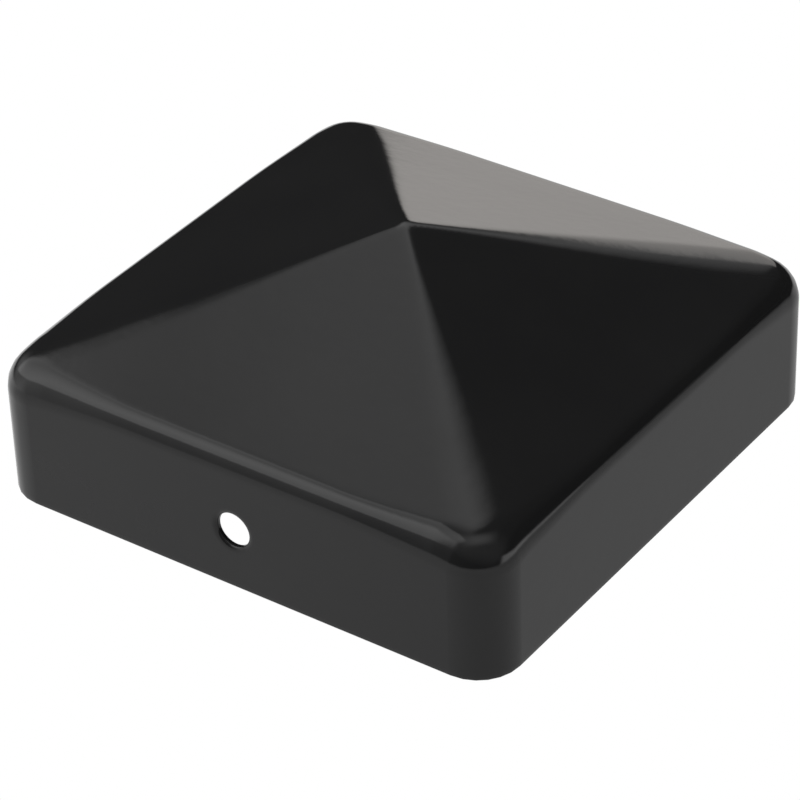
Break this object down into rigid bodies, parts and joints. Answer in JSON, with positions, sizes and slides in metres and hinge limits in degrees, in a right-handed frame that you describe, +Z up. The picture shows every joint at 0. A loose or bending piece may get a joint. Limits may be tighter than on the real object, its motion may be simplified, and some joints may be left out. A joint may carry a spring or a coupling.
{
  "type": "fence post cap",
  "caption": "Low pyramid cap of pressed sheet steel, powder coated, that slides over the top of a square wooden fence post and is screwed on through holes in its skirt.",
  "frame": {"origin": "centre of the open mouth, in the plane of the bottom rim", "axes": "+Z up through the peak; -Y towards the front fixing hole, +Y towards the back one; the four skirt faces are square to X and Y"},
  "size_m": [0.073, 0.073, 0.0313],
  "materials": {
    "black_powder_coat": "semi-gloss black powder coat over drawn steel sheet, faint orange peel"
  },
  "bodies": {
    "root": {"cap_shell": "black_powder_coat"}
  },
  "joints": []
}
